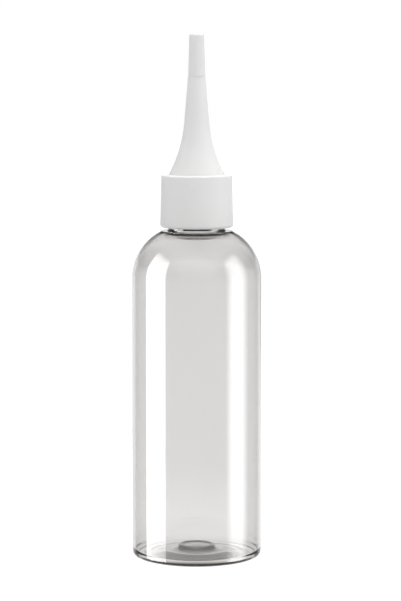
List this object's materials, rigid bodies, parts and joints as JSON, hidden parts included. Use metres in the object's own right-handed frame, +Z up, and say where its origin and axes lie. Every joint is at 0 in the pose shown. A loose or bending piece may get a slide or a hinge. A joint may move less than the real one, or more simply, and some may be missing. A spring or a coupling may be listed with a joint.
{
  "type": "dropper bottle",
  "caption": "Clear round-shouldered squeeze bottle with a white screw cap drawn out into a long conical dispensing nozzle, closed by a small push-on tip cap.",
  "frame": {"origin": "centre of the ring that the bottle stands on, at the height of the table", "axes": "+Z up along the bottle's axis, from the base to the nozzle's tip; +X and +Y are level, and +X passes the lower end of the neck's thread"},
  "size_m": [0.0398, 0.0398, 0.1609],
  "materials": {
    "clear_bottle_plastic": "clear blown PET, glossy",
    "white_cap_plastic": "white moulded PP, fine satin",
    "white_foam": "closed-cell PE foam with smooth skins",
    "white_tip_plastic": "white moulded PE, fine satin"
  },
  "bodies": {
    "bottle": {"bottle": "clear_bottle_plastic"},
    "washer": {"sealing_washer": "white_foam"},
    "cap": {"nozzle_cap": "white_cap_plastic"},
    "tip_cap": {"tip_cap": "white_tip_plastic"}
  },
  "joints": [
    {"name": "cap_rise", "type": "slide", "parent": "bottle", "child": "washer", "axis": [0, 0, 1], "range_m": [0, 0.0159]},
    {"name": "cap_turn", "type": "hinge", "parent": "washer", "child": "cap", "pos_m": [0, 0, 0.108], "axis": [0, 0, 1], "range_deg": [0, 1800]},
    {"name": "tip_cap_pull", "type": "slide", "parent": "cap", "child": "tip_cap", "axis": [0, 0, 1], "range_m": [0, 0.016]}
  ],
  "couplings": [
    {"joint": "cap_rise", "follows": "cap_turn", "m_per_rad": 0.00050532}
  ]
}
